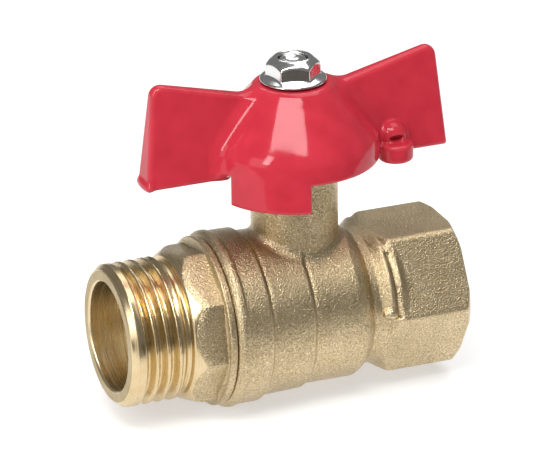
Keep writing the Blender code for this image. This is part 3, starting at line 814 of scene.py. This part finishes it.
def white_ptfe():
    paint = Paint("white_ptfe", (0.86, 0.86, 0.83), 0.0, 0.42, Subsurface_Weight=0.1)
    lines = paint.noise(0.25, 2.0)
    cloud = paint.ranged(paint.noise(1.5), 0.35, 0.65, 0, 1)
    paint.color(paint.mixed(cloud, (0.84, 0.84, 0.80), (0.90, 0.90, 0.88)))
    paint.roughness(paint.ranged(lines, 0.3, 0.7, 0.36, 0.5))
    paint.bump(lines, 0.01, 0.5)
    return paint.material


def black_rubber():
    paint = Paint("black_rubber", (0.02, 0.02, 0.022), 0.0, 0.5)
    grain = paint.noise(0.2, 2.0)
    speck = paint.ranged(grain, 0.3, 0.7, 0, 1)
    paint.color(paint.mixed(speck, (0.014, 0.014, 0.016), (0.03, 0.03, 0.032)))
    paint.roughness(paint.ranged(grain, 0.3, 0.7, 0.42, 0.6))
    paint.bump(grain, 0.008, 0.6)
    return paint.material


def dress(obj, *materials):
    obj.data.materials.clear()
    for material in materials:
        obj.data.materials.append(material)


def split(obj, chosen):
    """Gives each face the material whose number chosen(x, y, z) names at the face's middle."""
    count = len(obj.data.polygons)
    middle = np.empty(count * 3)
    obj.data.polygons.foreach_get("center", middle)
    x, y, z = (middle.reshape(-1, 3) - np.array(CENTRE)).T / MM
    obj.data.polygons.foreach_set("material_index", chosen(x, y, z).astype(np.int32))
    obj.data.update()


BLASTED = blasted_brass()
TURNED = turned_brass("turned_brass")
TURNED_UP = turned_brass("turned_brass_upright", "Z")
# The bore of the threaded end: a lighter copy of the turned brass, painted light inside the bore.
LIT_BORE = turned_brass("bore_painted_light", "X", (0.80, 0.67, 0.44), (0.86, 0.74, 0.53), 0.22, 0.05)
# The end face of the threaded end: a darker copy of the turned brass, painted shade on the face.
SHADED_END_FACE = turned_brass("end_face_painted_shade", "X", (0.35, 0.26, 0.115), (0.42, 0.32, 0.155))


def machined(x, y, z):
    """1 in the bores and on the end face of the hexagon, 0 on the forging."""
    bore = inside_the_body(x, y, z)
    return (bore > -0.12) & (bore < 0.3) | (x > FEMALE_FACE_X - 0.04)


def connector_finish(x, y, z):
    """1 on the eight sandblasted flats and the flange, 2 in the bore (painted light), 3 on the end face
    (painted shade), 0 elsewhere.
    """
    around = np.hypot(y, z)
    cone = ROOT_R + 1.25 + (x - COLLAR_START_X - 0.2) * (COLLAR_ACROSS / 2 - ROOT_R - 0.05) / 2.5
    collar = (x > COLLAR_START_X + 0.3) & (x < FLANGE_BACK_X)
    flats = collar & (around < cone - 0.04) & (around > ROOT_R + 0.45)
    bore = around < MALE_BORE_R + 0.05
    return np.select([flats, bore, x < MALE_FACE_X + 0.03], [1, 2, 3], 0)


dress(valve_body, BLASTED, TURNED)
split(valve_body, machined)
dress(end_connector, TURNED, BLASTED, LIT_BORE, SHADED_END_FACE)
split(end_connector, connector_finish)
dress(handle, red_enamel())
CHROME = bright_plate("ball_chrome", (0.80, 0.80, 0.81), 0.06, 2.0)
PLATED = bright_plate("nut_chrome", (0.83, 0.83, 0.82), 0.14, 0.6)
dress(handle_nut, PLATED)
dress(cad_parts["ball"], CHROME)
dress(stem, TURNED_UP, PLATED)
split(stem, lambda x, y, z: z > STEM_TOP_Z - 0.6)
dress(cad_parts["gland_nut"], TURNED_UP)
PTFE = white_ptfe()
RUBBER = black_rubber()
for node in ("seat_ring_inlet", "seat_ring_outlet", "stem_thrust_washer", "stem_packing"):
    dress(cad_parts[node], PTFE)
for node in ("joint_o_ring", "stem_o_ring_lower", "stem_o_ring_upper"):
    dress(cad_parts[node], RUBBER)


# --- floor, lights and camera -------------------------------------------------------------------------

FLOOR_SIZE = 3.0  # metres


def card(name, corners, faces):
    mesh = bpy.data.meshes.new(name)
    mesh.from_pydata(corners, [], faces)
    made = bpy.data.objects.new(name, mesh)
    bpy.context.scene.collection.objects.link(made)
    return made


def make_floor():
    half = FLOOR_SIZE / 2
    corners = [(-half, -half, 0), (half, -half, 0), (half, half, 0), (-half, half, 0)]
    made = card("floor", corners, [(0, 1, 2, 3)])
    paint = Paint("pale_floor", (0.6, 0.6, 0.6), 0.0, 0.9, Specular_IOR_Level=0.0, Emission_Strength=0.5)
    paint.shader.inputs["Emission Color"].default_value = (1, 1, 1, 1)
    dress(made, paint.material)


def make_flag():
    """A dark card in front of the valve. Only reflections show it, as a dark band in the turned brass."""
    near, far, side, height = -0.05, -0.75, 0.8, 0.06
    corners = [(-side, near, 0.0005), (side, near, 0.0005), (side, far, 0.0005), (-side, far, 0.0005),
               (side, far, height), (-side, far, height)]
    made = card("flag", corners, [(0, 1, 2, 3), (3, 2, 4, 5)])
    made.visible_camera = made.visible_diffuse = made.visible_shadow = False
    dress(made, Paint("dark_card", (0.09, 0.08, 0.07), 0.0, 1.0, Specular_IOR_Level=0.0).material)


def softbox(name, direction, distance, size, power):
    """A white area light aimed at the neck, its direction from there, its distance and size in metres."""
    light = bpy.data.lights.new(name, "AREA")
    light.shape = "RECTANGLE"
    light.size, light.size_y = size
    light.energy = power
    made = bpy.data.objects.new(name, light)
    bpy.context.scene.collection.objects.link(made)
    target = CENTRE + Vector((0, 0, 0.012))
    away = Vector(direction).normalized()
    made.location = target + away * distance
    made.rotation_euler = away.to_track_quat("Z", "Y").to_euler()
    return made


make_floor()
make_flag()
softbox("key", (-0.27, -0.42, 0.865), 0.6, (0.46, 0.16), 2.4)
softbox("left", (-1.0, -0.35, 0.35), 0.9, (0.4, 0.5), 1.1)
softbox("strip", (-0.78, -0.45, 0.55), 0.6, (0.09, 0.3), 1.0)
softbox("top", (0.3, 0.05, 0.95), 0.6, (0.4, 0.4), 1.2)
softbox("back", (0.4, 0.8, 1.1), 1.2, (0.8, 0.4), 2.0)

world = bpy.data.worlds.new("studio")
bpy.context.scene.world = world
world.use_nodes = True
world.node_tree.nodes["Background"].inputs["Color"].default_value = (0.20, 0.20, 0.20, 1)
world.node_tree.nodes["Background"].inputs["Strength"].default_value = 1.0

LENS = 333.55
SENSOR = 36.0
TARGET = Vector((-3.02, 0, 13.06))
AZIMUTH, ELEVATION, ROLL = math.radians(-22.18), math.radians(22.58), math.radians(-0.56)
DISTANCE = 738.2


def make_camera():
    camera = bpy.data.cameras.new("camera")
    camera.lens, camera.sensor_width = LENS, SENSOR
    camera.clip_start, camera.clip_end = 0.05, 10
    made = bpy.data.objects.new("camera", camera)
    bpy.context.scene.collection.objects.link(made)
    back = Vector((math.sin(AZIMUTH) * math.cos(ELEVATION), -math.cos(AZIMUTH) * math.cos(ELEVATION),
                   math.sin(ELEVATION)))
    made.location = CENTRE + (TARGET + back * DISTANCE) * MM
    turn = back.to_track_quat("Z", "Y") @ Matrix.Rotation(ROLL, 3, "Z").to_quaternion()
    made.rotation_euler = turn.to_euler()
    bpy.context.scene.camera = made


make_camera()
bpy.context.scene.view_settings.view_transform = "Standard"
